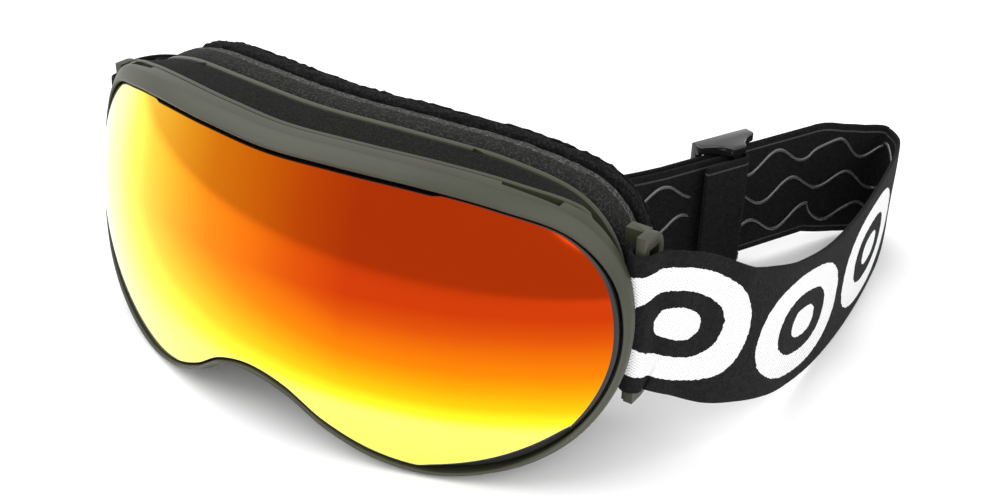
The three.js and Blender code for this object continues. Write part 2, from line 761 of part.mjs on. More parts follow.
addPiece('vent_foam_top', ventFoamStrip(-11, 11), ventFoam);
addPiece('vent_foam_cheek_right', ventFoamStrip(21, 26), ventFoam);
addPiece('vent_foam_cheek_left', ventFoamStrip(-26, -21), ventFoam);

const blackFrom = CHARCOAL_T + FOAM_GAP;
const fleeceFrom = blackFrom + BLACK_T + FOAM_GAP;
addPiece('face_foam_charcoal', foamLayer(0, CHARCOAL_T, FOAM_OUT, FOAM_IN), charcoalFoam);
addPiece('face_foam_black', foamLayer(blackFrom, blackFrom + BLACK_T, FOAM_OUT - 0.4, FOAM_IN), blackFoam);
addPiece('face_fleece', foamLayer(fleeceFrom, fleeceFrom + FLEECE_T, FOAM_OUT - 1.4, FOAM_IN - 1), fleece);

addPiece('outrigger_right', outrigger(1), oliveFrame);
addPiece('outrigger_left', outrigger(-1), oliveFrame);
addPiece('strap_end_right', strapEnd(true, 11), elastic);
addPiece('strap_end_left', strapEnd(false, 0), elastic);
addPiece('strap_main', strapMain(), elastic);
addPiece('strap_inner_layer', strapInnerLayer(), elastic);
addPiece('strap_slider', slider(), glossBlack);
addPiece('slider_tail', sliderTail(), elastic);

const GRIP_GAP = 0.85;
const GRIP_LINES = { top: 12, middle: 0, bottom: -12 };
const gripFrom = SLIDER_S - 10;
const gripTo = strapAt(114, 5);
const innerGripFrom = strapAt(-62, -9.5);
for (const [line, height] of Object.entries(GRIP_LINES)) {
  const phase = height / 6;
  const onOuter = STRAP_T / 2 + GRIP_GAP;
  const onInner = LAYER_2 + STRAP_T / 2 + GRIP_GAP;
  addPiece(`grip_line_${line}`, gripLine(gripFrom, gripTo, onOuter, height, phase), silicone);
  addPiece(`inner_grip_line_${line}`, gripLine(innerGripFrom, INNER_END_S - 2, onInner, height, phase), silicone);
}

export default goggles;
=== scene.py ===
import bisect
import functools
import math
from collections import namedtuple

import bpy
from mathutils import Matrix, Vector, noise


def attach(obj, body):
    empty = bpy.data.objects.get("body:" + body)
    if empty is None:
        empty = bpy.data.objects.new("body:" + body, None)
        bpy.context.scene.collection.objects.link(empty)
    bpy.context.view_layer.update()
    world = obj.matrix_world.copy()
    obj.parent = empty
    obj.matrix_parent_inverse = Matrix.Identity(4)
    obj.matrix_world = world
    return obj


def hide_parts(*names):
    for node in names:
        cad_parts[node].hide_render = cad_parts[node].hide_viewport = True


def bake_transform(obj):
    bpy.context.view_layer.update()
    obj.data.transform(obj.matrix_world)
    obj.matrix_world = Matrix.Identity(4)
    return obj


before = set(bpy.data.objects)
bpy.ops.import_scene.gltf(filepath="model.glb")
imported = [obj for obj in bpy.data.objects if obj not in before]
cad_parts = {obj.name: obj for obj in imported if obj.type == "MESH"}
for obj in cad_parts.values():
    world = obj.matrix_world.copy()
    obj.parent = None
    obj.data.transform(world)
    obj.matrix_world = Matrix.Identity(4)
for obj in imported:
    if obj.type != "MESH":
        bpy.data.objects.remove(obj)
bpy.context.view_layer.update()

bl_info = {
    "name": "Ski goggles",
    "version": (1, 0, 0),
    "blender": (4, 5, 0),
    "location": "View3D > Sidebar > Goggles",
    "description": "Builds snow goggles with a mirrored lens, layered face foam and an elastic strap",
    "category": "Object",
}

# ---------------------------------------------------------------- sizes
# Millimetres, in the goggles' own frame: x = 0 is the wearer's middle, the wearer looks
# along -Y, and z = 0 is the surface that the goggles stand on.

FOOTPRINT_MID = (6.48, 6.2)

LENS_HALF_AXES = (124.0, 102.0, 113.0)
LENS_MID_Z = 29.0
LENS_T = 1.3
INNER_LENS_T = 0.9
LENS_SPACING = 5.0
SEAL_GAP = 0.9

LENS_OUTLINE = [
    (0, 82.3), (22, 82.5), (45, 81.3), (63, 78.3), (78.5, 73), (88.5, 62.5), (93, 47), (91.6, 33),
    (84, 18.5), (70, 7.4), (53, 2.6), (38, 4.6), (24, 11), (12, 19), (0, 21.8),
]
FACE_OUTLINE = [
    (0, 84), (30, 83.7), (56, 80.5), (73, 73), (81, 58.5), (80.5, 40.5), (73, 23.5),
    (60, 12), (46, 8.5), (33, 12.5), (22, 22.5), (12, 33), (0, 37.5),
]
RING = 256                      # sections round every ring

LEDGE_Y = 3.8
RIM_BACK = 6.8
RIM_SIDE_BACK = 5.2
RIDGE_T = 1.6
TEMPLE_POCKET = -5.2

FOAM_OUT = 3.4                  # foam outside the face outline
FOAM_IN = 10.5                  # foam inside the face outline
PAINTED_SHADE_SHARE = 0.62                # share of the charcoal foam's depth whose side is painted darker as shade
WINDOWS_X = (-54, -32, -11, 11, 32, 54)
LENS_CORE_Z = 52.0              # height of the point that the lens's rings spread from

FACE_Y = -49.0
CHARCOAL_T = 12.0
BLACK_T = 4.0
FLEECE_T = 1.4
FOAM_GAP = 0.75
FOAM_STACK = CHARCOAL_T + BLACK_T + FLEECE_T + 3 * FOAM_GAP

STRAP_W = 41.0
STRAP_T = 1.7
LAYER_2 = 2.9
SWING_Y = -55.4
SWING_Z = 47.3
LOOP_X = 92.5
LOOP_BACK = -46.5
BEND_REACH = 2.95               # from the bar's middle to the middle of the webbing round it
STRAP_OUTSIDE = LOOP_X + BEND_REACH

SLIDER_AT = (64.3, 54.0)
SLIDER_MID_Z = 25.6
SLIDER_DIR = Vector((24.4, 56, 0)).normalized()
SLIDER_BARS_IN = (4.0, 6.5)
TAIL_BACK = 14.0

SLIDER_RUN = [
    (SLIDER_AT[0] + along * SLIDER_DIR.x, SLIDER_AT[1] + along * SLIDER_DIR.y, SLIDER_MID_Z)
    for along in (-27, -24, -8, 8, 24, 38, 41)
]
STRAP_PATH = [
    (-STRAP_OUTSIDE, SWING_Y, SWING_Z), (-96, -53, 47.2), (-98.8, -49, 47), (-101, -43, 46.5),
    (-99.7, -34, 45.5), (-93, -25.5, 44), (-82, -17.5, 42), (-62, -9.5, 39), (-40, -5, 36),
    (-6, -1, 31), (28, 4, 27.5), (42, 11, 26), *SLIDER_RUN, (84, 97.5, 24), (89, 106, 22),
    (96, 114, 20.7), (103, 108, 20.7), (106.5, 97, 20.7), (109.5, 80, 20.7), (112, 60, 20.7),
    (113.5, 40, 20.7), (114, 22, 21.5), (114, 5, 24.5), (113.5, -8, 28), (111.5, -20, 32),
    (108, -31, 36), (103, -40.5, 41.5), (99, -48, 45.8), (96.2, -52.4, 47),
    (STRAP_OUTSIDE, SWING_Y, SWING_Z),
]


def metres(x, y, z):
    """A point of the goggles' own frame, in the row frame."""
    return Vector(((x - FOOTPRINT_MID[0]) / 1000, (y - FOOTPRINT_MID[1]) / 1000, z / 1000))


def smooth(edge0, edge1, value):
    """0 at the first edge and 1 at the second, whichever of the two is the larger."""
    t = min(1.0, max(0.0, (value - edge0) / (edge1 - edge0)))
    return t * t * (3 - 2 * t)


def mix(a, b, share):
    return a + (b - a) * share


# ---------------------------------------------------------------- curves

def spline_points(points, closed, fine=30):
    """Close points along the centripetal curve through the given ones."""
    count = len(points)
    spans = count if closed else count - 1
    line = []
    for i in range(spans):
        if closed:
            p0, p1, p2, p3 = (points[(i + j - 1) % count] for j in range(4))
        else:
            p1, p2 = points[i], points[i + 1]
            p0 = points[i - 1] if i else 2 * p1 - p2
            p3 = points[i + 2] if i + 2 < count else 2 * p2 - p1
        d0, d1, d2 = (max((b - a).length, 1e-6) ** 0.5 for a, b in ((p0, p1), (p1, p2), (p2, p3)))
        t1 = ((p1 - p0) / d0 - (p2 - p0) / (d0 + d1) + (p2 - p1) / d1) * d1
        t2 = ((p2 - p1) / d1 - (p3 - p1) / (d1 + d2) + (p3 - p2) / d2) * d1
        for k in range(fine):
            t = k / fine
            square = -3 * p1 + 3 * p2 - 2 * t1 - t2
            cube = 2 * p1 - 2 * p2 + t1 + t2
            line.append(p1 + t1 * t + square * t * t + cube * t ** 3)
    line.append(points[0] if closed else points[-1])
    return line


class Route:
    """A curve that is read by the distance along it."""

    def __init__(self, points, closed=False):
        self.closed = closed
        self.line = spline_points([Vector(p) for p in points], closed)
        self.marks = [0.0]
        for a, b in zip(self.line, self.line[1:]):
            self.marks.append(self.marks[-1] + (b - a).length)
        self.length = self.marks[-1]

    def place(self, s):
        s = s % self.length if self.closed else min(max(s, 0.0), self.length)
        i = min(max(bisect.bisect_right(self.marks, s) - 1, 0), len(self.line) - 2)
        span = self.marks[i + 1] - self.marks[i]
        return self.line[i].lerp(self.line[i + 1], (s - self.marks[i]) / span if span else 0)

    def heading(self, s, reach=0.6):
        return (self.place(s + reach) - self.place(s - reach)).normalized()


Step = namedtuple("Step", "x z nx nz")


def closed_outline(half, steps=RING):
    """Even steps round a half outline and its mirror image, each with its outward normal."""
    whole = half + [(-x, z) for x, z in reversed(half[1:-1])]
    route = Route([(x, 0, z) for x, z in whole], closed=True)
    ring = []
    for k in range(steps):
        s = route.length * k / steps
        place, heading = route.place(s), route.heading(s)
        ring.append(Step(place.x, place.z, -heading.z, heading.x))
    return ring


LENS_RING = closed_outline(LENS_OUTLINE)
FACE_RING = closed_outline(FACE_OUTLINE)


def at(step, out, y):
    return Vector((step.x + step.nx * out, y, step.z + step.nz * out))


def lens_y(x, z, deeper=0.0):
    a, b, c = (axis - deeper for axis in LENS_HALF_AXES)
    return -b * math.sqrt(max(0.0, 1 - (x / a) ** 2 - ((z - LENS_MID_Z) / c) ** 2))


def edge_y(step):
    return lens_y(step.x, step.z)


def face_y(x, z):
    nose = math.exp(-((x / 19) ** 2)) * smooth(62, 38, z)
    return FACE_Y + 0.003 * x * x - 9 * nose


def temple_side(step):
    """1 beside the temples, 0 over the brow and along the cheeks."""
    fade = smooth(52, 64, abs(step.x))
    return fade * smooth(0.45, 0.85, abs(step.nx))


def rim_width(step):
    return 3.1 + 1.6 * max(0.0, step.nz) - 1.4 * step.nx ** 4


def rim_back(step):
    return mix(RIM_BACK, RIM_SIDE_BACK, temple_side(step))


def ridge_out(step):
    return mix(rim_width(step) - 0.2, TEMPLE_POCKET, temple_side(step))


def channel_floor(step):
    return min(1.8, ridge_out(step) - 1.7)


def flange_y(step):
    return face_y(step.x, step.z) - FOAM_STACK


def lens_edge_inset(step):
    brow = 0.6 * smooth(50, 47, abs(step.x)) if step.z > 60 else 0.0
    along = math.sin(math.pi * min(1.0, max(0.0, (abs(step.x) - 50) / 36)))
    cheek = 2.4 * math.sqrt(max(0.0, along)) if step.z < 30 else 0.0
    return 0.1 + brow + cheek


# ---------------------------------------------------------------- strap route

STRAP = Route(STRAP_PATH)
Row = namedtuple("Row", "middle up inside")


@functools.lru_cache(maxsize=None)
def strap_row(s):
    middle, heading = STRAP.place(s), STRAP.heading(s)
    inside = Vector((heading.y, -heading.x, 0)).normalized()
    return Row(middle, inside.cross(heading), inside)


def on_row(row, across, inward):
    return row.middle + row.up * across + row.inside * inward


def layer_row(s, inward):
    """A row of webbing that lies inside the outer layer, with its printed side turned in."""
    row = strap_row(s)
    return Row(row.middle + row.inside * inward, row.up, -row.inside)


SLIDER_S = min((s / 2 for s in range(int(STRAP.length * 2))),
               key=lambda s: math.dist(STRAP.place(s)[:2], SLIDER_AT))


def strap_at(x, y):
    return min((s / 2 for s in range(int(STRAP.length * 2))),
               key=lambda s: math.dist(STRAP.place(s)[:2], (x, y)))


def bend_rows(side, turns=12):
    """The webbing's half turn round a front bar, from outside to inside."""
    rows = []
    for r in range(1, turns + 1):
        angle = math.pi * r / turns
        out = Vector((side * math.cos(angle), -math.sin(angle), 0))
        middle = Vector((side * LOOP_X, SWING_Y, SWING_Z)) + out * BEND_REACH
        rows.append(Row(middle, Vector((0, 0, 1)), -out))
    return rows


def right_leg_rows():
    rows = []
    for k in range(1, 9):
        middle = Vector((LOOP_X - BEND_REACH, SWING_Y + 11 * k / 8, SWING_Z))
        rows.append(Row(middle, Vector((0, 0, 1)), Vector((1, 0, 0))))
    return rows


def left_leg_rows(until):
    """Inside the left loop the webbing leaves the bar flat and then follows the outer layer."""
    rows = []
    steps = 24
    for k in range(1, steps + 1):
        row = layer_row(until * k / steps, LAYER_2)
        settle = smooth(0, 1, (row.middle.y - LOOP_BACK - 1) / 8)
        middle = row.middle.copy()
        middle.x = mix(-LOOP_X + BEND_REACH, middle.x, settle)
        rows.append(Row(middle, row.up, row.inside))
    return rows


LEFT_LEG_END = 34.0
INNER_LAYER_END = SLIDER_S - TAIL_BACK


def webbing_rows():
    """From the sewn end on the right, round the whole loop, to the inside of the left one."""
    rows = [*reversed(right_leg_rows()), *reversed(bend_rows(1))]
    count = int(STRAP.length / 1.2)
    rows += [strap_row(STRAP.length * (1 - k / count)) for k in range(count + 1)]
    return rows + bend_rows(-1) + left_leg_rows(LEFT_LEG_END)


def inner_layer_rows():
    """The doubled-back layer, and its end turned round the slider's inner bar."""
    count = int((INNER_LAYER_END - LEFT_LEG_END) / 1.6)
    rows = [layer_row(mix(LEFT_LEG_END, INNER_LAYER_END, k / count), LAYER_2) for k in range(count + 1)]
    base = strap_row(SLIDER_S)
    reach = (SLIDER_BARS_IN[1] - SLIDER_BARS_IN[0]) / 2 + 0.3 + STRAP_T / 2
    bar = sum(SLIDER_BARS_IN) / 2

    def tail_row(along, inward, away):
        middle = base.middle + SLIDER_DIR * along + base.inside * inward
        facing = (SLIDER_DIR * away.x + base.inside * away.y).normalized()
        return Row(middle, Vector((0, 0, 1)), facing)

    for k in range(1, 8):
        rows.append(tail_row(mix(-TAIL_BACK, 1.5, k / 7), bar - reach, Vector((0, -1))))
    for k in range(1, 13):
        angle = math.pi * k / 12
        out = Vector((math.sin(angle), -math.cos(angle)))
        rows.append(tail_row(1.5 + reach * out.x, bar + reach * out.y, out))
    for k in range(1, 9):
        rows.append(tail_row(mix(1.5, -TAIL_BACK, k / 8), bar + reach, Vector((0, 1))))
    return rows


# ---------------------------------------------------------------- modelling helpers

def only(piece):
    bpy.ops.object.select_all(action="DESELECT")
    piece.select_set(True)
    bpy.context.view_layer.objects.active = piece


def in_edit_mode(piece, *operators):
    """Runs edit-mode operators on the whole of a piece."""
    only(piece)
    bpy.ops.object.mode_set(mode="EDIT")
    bpy.ops.mesh.select_all(action="SELECT")
    for operator in operators:
        operator()
    bpy.ops.object.mode_set(mode="OBJECT")


def close_up(piece):
    in_edit_mode(
        piece,
        functools.partial(bpy.ops.mesh.remove_doubles, threshold=2e-6),
        functools.partial(bpy.ops.mesh.dissolve_degenerate, threshold=1e-7),
        functools.partial(bpy.ops.mesh.normals_make_consistent, inside=False),
    )


def apply_modifier(piece, kind, **values):
    only(piece)
    modifier = piece.modifiers.new(kind.title(), kind)
    for key, value in values.items():
        setattr(modifier, key, value)
    bpy.ops.object.modifier_apply(modifier=modifier.name)


def wrapped_grid(name, columns, rows, place):
    """A flat grid whose corner at (u, v), from 0 to 1, is put at place(u, v) in the goggles' frame."""
    bpy.ops.object.select_all(action="DESELECT")
    bpy.ops.mesh.primitive_grid_add(x_subdivisions=columns, y_subdivisions=rows, size=1, calc_uvs=True)
    piece = bpy.context.active_object
    piece.name = piece.data.name = name
    for vertex in piece.data.vertices:
        vertex.co = metres(*place(vertex.co.x + 0.5, vertex.co.y + 0.5))
    return piece


def softened(corners, cut, steps=3):
    """A closed section with each corner cut back and rounded."""
    count = len(corners)
    rounded = []
    for i, corner in enumerate(corners):
        ends = []
        for other in (corners[i - 1], corners[(i + 1) % count]):
            side = other - corner
            ends.append(corner + side.normalized() * min(cut, side.length * 0.45))
        for k in range(steps + 1):
            t = k / steps
            rounded.append(ends[0].lerp(corner, t).lerp(corner.lerp(ends[1], t), t))
    return rounded


def ring_piece(name, section_of, cut, steps=3):
    """A closed ring with the rounded section section_of(k) at each of its steps."""
    sections = [softened(section_of(k), cut, steps) for k in range(RING)]
    count = len(sections[0])

    def place(u, v):
        x, y, z = sections[round(u * RING) % RING][round(v * count) % count]
        return x, y, max(z, 0.0)

    piece = wrapped_grid(name, RING, count, place)
    close_up(piece)
    return piece


def strip_piece(name, section_of, first, last, cut, steps=3):
    """An open stretch of a ring, closed at each end on the middle of its section."""
    sections = [softened(section_of(k % RING), cut, steps) for k in range(first, last + 1)]
    count = len(sections[0])
    spans = len(sections) + 1

    def place(u, v):
        k = round(u * spans)
        if k in (0, spans):
            end = sections[0 if k == 0 else -1]
            return sum(end, Vector()) / count
        return sections[k - 1][round(v * count) % count]

    piece = wrapped_grid(name, spans, count, place)
    close_up(piece)
    return piece


def rounded_copy(node, name, width, segments=3):
    """A merged copy of a CAD node with its edges rounded."""
    bpy.ops.object.select_all(action="DESELECT")
    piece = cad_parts[node].copy()
    piece.data = piece.data.copy()
    piece.name = piece.data.name = name
    piece.parent = None
    piece.matrix_world = Matrix.Identity(4)
    bpy.context.scene.collection.objects.link(piece)
    in_edit_mode(
        piece,
        functools.partial(bpy.ops.mesh.remove_doubles, threshold=1e-5),
        functools.partial(bpy.ops.mesh.dissolve_limited, angle_limit=math.radians(4)),
    )
    apply_modifier(piece, "BEVEL", width=width, segments=segments, limit_method="ANGLE",
                   angle_limit=math.radians(35), use_clamp_overlap=True)
    return piece


def shade(piece, angle=35):
    only(piece)
    bpy.ops.object.shade_smooth_by_angle(angle=math.radians(angle))


def dress(piece, slot, *finishes):
    sides = [face.material_index for face in piece.data.polygons]
    piece.data.materials.clear()
    for finish in finishes:
        piece.data.materials.append(finish)
    for face, side in zip(piece.data.polygons, sides):
        face.material_index = min(side, len(finishes) - 1)


def box_cutter(name, low, high, narrowing=1.0):
    """A box between two corners whose front end is narrowed along X."""
    bpy.ops.object.select_all(action="DESELECT")
    bpy.ops.mesh.primitive_cube_add(size=1)
    cutter = bpy.context.active_object
    cutter.name = name
    for vertex in cutter.data.vertices:
        share = [c + 0.5 for c in vertex.co]
        x = mix(low[0], high[0], share[0])
        middle = (low[0] + high[0]) / 2
        if share[1] < 0.5:
            x = mix(middle, x, narrowing)
        vertex.co = metres(x, mix(low[1], high[1], share[1]), mix(low[2], high[2], share[2]))
    return cutter


def cut_with(piece, cutter):
    apply_modifier(piece, "BOOLEAN", operation="DIFFERENCE", solver="EXACT", object=cutter)
    bpy.data.objects.remove(cutter)


# ---------------------------------------------------------------- finishes

class Finish:
    """One material, and short words for the nodes that make it up."""

    def __init__(self, name, colour, roughness, metallic=0.0, **sockets):
        self.material = bpy.data.materials.new(name)
        self.material.use_nodes = True
        self.tree = self.material.node_tree
        self.shader = self.tree.nodes["Principled BSDF"]
        self.shader.inputs["Base Color"].default_value = (*colour, 1)
        self.shader.inputs["Roughness"].default_value = roughness
        self.shader.inputs["Metallic"].default_value = metallic
        for key, value in sockets.items():
            self.shader.inputs[key.replace("_", " ")].default_value = value
        self.material.diffuse_color = (*colour, 1)

    def add(self, kind, **values):
        node = self.tree.nodes.new(kind)
        for key, value in values.items():
            if hasattr(node, key):
                setattr(node, key, value)
            else:
                node.inputs[key.replace("_", " ")].default_value = value
        return node

    def join(self, source, target):
        self.tree.links.new(source, target)

    def coords(self, kind="Object"):
        return self.add("ShaderNodeTexCoord").outputs[kind]

    def noise(self, vector, scale, detail=3.0, roughness=0.5):
        node = self.add("ShaderNodeTexNoise", Scale=scale, Detail=detail, Roughness=roughness)
        self.join(vector, node.inputs["Vector"])
        return node.outputs["Fac"]

    def maths(self, operation, *terms, clamp=False):
        node = self.add("ShaderNodeMath", operation=operation, use_clamp=clamp)
        for socket, term in zip(node.inputs, terms):
            if isinstance(term, (int, float)):
                socket.default_value = term
            else:
                self.join(term, socket)
        return node.outputs[0]

    def ramp(self, factor, *stops, sharp=False):
        node = self.add("ShaderNodeValToRGB")
        band = node.color_ramp
        band.interpolation = "CONSTANT" if sharp else "LINEAR"
        while len(band.elements) < len(stops):
            band.elements.new(1.0)
        for element, (place, colour) in zip(band.elements, stops):
            element.position = place
            element.color = (*colour, 1)
        self.join(factor, node.inputs["Fac"])
        return node.outputs["Color"]

    def blend(self, factor, first, second):
        node = self.add("ShaderNodeMix", data_type="RGBA")
        for socket, term in ((node.inputs[0], factor), (node.inputs[6], first), (node.inputs[7], second)):
            if hasattr(term, "links"):
                self.join(term, socket)
            else:
                socket.default_value = (*term, 1) if hasattr(term, "__len__") else term
        return node.outputs[2]

    def colour(self, socket):
        self.join(socket, self.shader.inputs["Base Color"])

    def roughness(self, factor, low, high):
        node = self.add("ShaderNodeMapRange", To_Min=low, To_Max=high)
        self.join(factor, node.inputs["Value"])
        self.join(node.outputs["Result"], self.shader.inputs["Roughness"])

    def bump(self, height, strength, distance):
        node = self.add("ShaderNodeBump", Strength=strength, Distance=distance)
        self.join(height, node.inputs["Height"])
        self.join(node.outputs["Normal"], self.shader.inputs["Normal"])


def srgb(red, green, blue):
    """A colour given as 0 to 255 on screen, as the linear values that a shader takes."""
    def linear(value):
        value /= 255
        return value / 12.92 if value <= 0.04045 else ((value + 0.055) / 1.055) ** 2.4
    return linear(red), linear(green), linear(blue)


@functools.lru_cache(maxsize=None)
def olive_plastic():
    olive = tuple(bpy.context.scene.goggles.frame_colour)
    finish = Finish("moulded olive plastic", olive, 0.46, Specular_IOR_Level=0.45)
    place = finish.coords()
    cloud = finish.noise(place, 55, 4)
    dark = tuple(c * 0.86 for c in olive)
    pale = tuple(c * 1.16 for c in olive)
    finish.colour(finish.ramp(cloud, (0.3, dark), (0.7, pale)))
    grain = finish.noise(place, 2600, 2)
    finish.roughness(cloud, 0.4, 0.52)
    finish.bump(grain, 0.12, 0.0002)
    return finish.material


@functools.lru_cache(maxsize=None)
def mirror_painted_reflection():
    """A vapour-deposited mirror coating whose colour holds a painted reflection: deep red high on one side,
    through amber to pale yellow towards the left and the bottom, where a bright light is painted as
    reflected.
    """
    finish = Finish("fire mirror, painted reflection", srgb(220, 120, 10), 0.07, 1.0)
    split = finish.add("ShaderNodeSeparateXYZ")
    finish.join(finish.coords(), split.inputs[0])
    x, z = split.outputs[0], split.outputs[2]
    mid_x = (0 - FOOTPRINT_MID[0]) / 1000
    # Painted reflection: towards the left and the bottom the colour goes pale, as if a bright light were
    # reflected there; high on the right it stays deep red.
    left = finish.maths("MULTIPLY", finish.maths("SUBTRACT", mid_x + 0.030, x), 10.2, clamp=True)
    low = finish.maths("MULTIPLY", finish.maths("SUBTRACT", 0.053, z), 29.0, clamp=True)
    dim_left = finish.maths("SUBTRACT", 1.0, left)
    dim_low = finish.maths("SUBTRACT", 1.0, low)
    painted_reflection = finish.maths("SUBTRACT", 1.0, finish.maths("MULTIPLY", dim_left, dim_low))
    mottled = finish.maths("ADD", painted_reflection, finish.maths(
        "MULTIPLY", finish.maths("SUBTRACT", finish.noise(finish.coords(), 30, 2), 0.5), 0.05))
    finish.colour(finish.ramp(
        mottled, (0.0, srgb(174, 50, 8)), (0.16, srgb(190, 70, 8)), (0.32, srgb(206, 98, 8)),
        (0.47, srgb(216, 118, 6)), (0.62, srgb(236, 150, 8)), (0.77, srgb(250, 184, 14)),
        (0.89, srgb(254, 228, 40)), (1.0, srgb(248, 246, 112))))
    return finish.material


# Painted shade: the lens's edge band is black to stand for the shadow in the gap between the lens and the
# rim.
@functools.lru_cache(maxsize=None)
def lens_edge_painted_shade():
    return Finish("black lens edge, painted shade", (0.004, 0.004, 0.004), 0.35).material


@functools.lru_cache(maxsize=None)
def lens_inside():
    finish = Finish("smoked lens inside", (0.11, 0.05, 0.018), 0.12, 0.25, Coat_Weight=0.4)
    finish.roughness(finish.noise(finish.coords(), 40, 2), 0.1, 0.16)
    return finish.material


@functools.lru_cache(maxsize=None)
def clear_sheet():
    finish = Finish("clear inner sheet", (0.55, 0.42, 0.3), 0.06, Transmission_Weight=0.85, IOR=1.49)
    finish.roughness(finish.noise(finish.coords(), 30, 2), 0.04, 0.08)
    return finish.material


@functools.lru_cache(maxsize=None)
def black_rubber():
    finish = Finish("black rubber", (0.01, 0.01, 0.01), 0.62)
    finish.bump(finish.noise(finish.coords(), 1500, 2), 0.2, 0.0002)
    return finish.material


def foam(name, dark, pale, cells, speckle, depth):
    """Cut foam: pale cell walls over dark cells, rough all over."""
    finish = Finish(name, dark, 0.95, Specular_IOR_Level=0.2)
    place = finish.coords()
    grain = finish.noise(place, cells, 4, 0.7)
    finish.colour(finish.ramp(grain, (speckle, dark), (min(1.0, speckle + 0.2), pale)))
    finish.bump(grain, 0.9, depth)
    return finish.material


@functools.lru_cache(maxsize=None)
def vent_mesh():
    return foam("open-cell vent foam", (0.002, 0.002, 0.002), (0.018, 0.018, 0.016), 1900, 0.46, 0.0008)


@functools.lru_cache(maxsize=None)
def charcoal_foam():
    return foam("charcoal foam, unshaded", (0.022, 0.0215, 0.021), (0.15, 0.147, 0.14), 1500, 0.46, 0.0006)


# Painted shade: a darker copy of the charcoal foam for its side, which falls in shade under the lit top
# edge.
@functools.lru_cache(maxsize=None)
def charcoal_painted_shade():
    return foam("charcoal foam, painted shade", (0.009, 0.009, 0.0088), (0.05, 0.049, 0.047), 1500, 0.48, 0.0006)


@functools.lru_cache(maxsize=None)
def black_foam():
    return foam("soft black foam", (0.003, 0.003, 0.0032), (0.022, 0.022, 0.022), 1200, 0.48, 0.0009)


@functools.lru_cache(maxsize=None)
def fleece():
    finish = Finish("black fleece", (0.008, 0.008, 0.009), 1.0, Specular_IOR_Level=0.15)
    place = finish.coords()
    nap = finish.noise(place, 900, 5, 0.75)
    finish.colour(finish.ramp(nap, (0.4, (0.003, 0.003, 0.0033)), (0.78, (0.022, 0.022, 0.0235))))
    finish.bump(nap, 1.0, 0.001)
    return finish.material


def webbing(name, printed):
    """Knitted elastic. Its own UV map runs along the strap in strap widths, and across from 0 to 1."""
    finish = Finish(name, (0.004, 0.004, 0.0042), 0.9, Specular_IOR_Level=0.2)
    split = finish.add("ShaderNodeSeparateXYZ")
    finish.join(finish.coords("UV"), split.inputs[0])
    along, across = split.outputs[0], split.outputs[1]
    ribs = finish.maths("SINE", finish.maths("MULTIPLY", along, 2 * math.pi * STRAP_W / 1.1))
    courses = finish.maths("SINE", finish.maths("MULTIPLY", across, 2 * math.pi * STRAP_W / 0.9))
    knit = finish.maths("MULTIPLY", ribs, courses)
    worn = finish.noise(finish.coords(), 700, 3)
    height = finish.maths("ADD", knit, finish.maths("MULTIPLY", worn, 0.8))
    black = finish.ramp(worn, (0.35, (0.0025, 0.0025, 0.0027)), (0.75, (0.009, 0.009, 0.0095)))
    if printed:
        ovals = woven_ovals(finish, along, across, worn)
        finish.colour(finish.blend(ovals, black, white_yarn(finish, knit)))
    else:
        edge = finish.maths("ABSOLUTE", finish.maths("SUBTRACT", finish.maths(
            "ABSOLUTE", finish.maths("SUBTRACT", across, 0.5)), 0.44))
        line = finish.maths("LESS_THAN", edge, 0.007)
        finish.colour(finish.blend(finish.maths("MULTIPLY", line, 0.5), black, (0.12, 0.12, 0.13)))
    finish.bump(height, 0.5, 0.0003)
    return finish.material


def white_yarn(finish, knit):
    shade_of = finish.maths("ADD", finish.maths("MULTIPLY", knit, 0.5), 0.5)
    return finish.ramp(shade_of, (0.0, (0.55, 0.55, 0.56)), (0.6, (0.86, 0.86, 0.87)))


def woven_ovals(finish, along, across, worn):
    """1 on white yarn: upright ovals, each a broad ring round a round core, between selvedges."""
    period = bpy.context.scene.goggles.oval_spacing * 1000 / STRAP_W
    cell = finish.maths("SUBTRACT", finish.maths("FRACT", finish.maths("DIVIDE", along, period)), 0.5)
    far = finish.maths("MULTIPLY", finish.maths("ABSOLUTE", cell), 2.12)
    high = finish.maths("MULTIPLY", finish.maths("ABSOLUTE", finish.maths("SUBTRACT", across, 0.5)), 2.42)
    shape = finish.maths("POWER", finish.maths("ADD", finish.maths("POWER", far, 2.4), finish.maths(
        "POWER", high, 2.4)), 1 / 2.4)
    wander = finish.maths("MULTIPLY", finish.maths("SUBTRACT", worn, 0.5), 0.05)
    rough_edge = finish.maths("ADD", shape, wander)
    white, black = (1, 1, 1), (0, 0, 0)
    return finish.ramp(rough_edge, (0.0, white), (0.27, black), (0.56, white), (0.95, black), sharp=True)


@functools.lru_cache(maxsize=None)
def printed_webbing():
    return webbing("woven block webbing", True)


@functools.lru_cache(maxsize=None)
def plain_webbing():
    return webbing("plain black webbing", False)


@functools.lru_cache(maxsize=None)
def silicone():
    finish = Finish("printed silicone", (0.075, 0.075, 0.08), 0.22, Specular_IOR_Level=0.8)
    finish.roughness(finish.noise(finish.coords(), 500, 2), 0.18, 0.34)
    return finish.material


@functools.lru_cache(maxsize=None)
def gloss_plastic():
    finish = Finish("gloss black plastic", (0.008, 0.008, 0.009), 0.2, Coat_Weight=0.3)
    finish.roughness(finish.noise(finish.coords(), 160, 3), 0.16, 0.28)
    return finish.material


# ---------------------------------------------------------------- settings

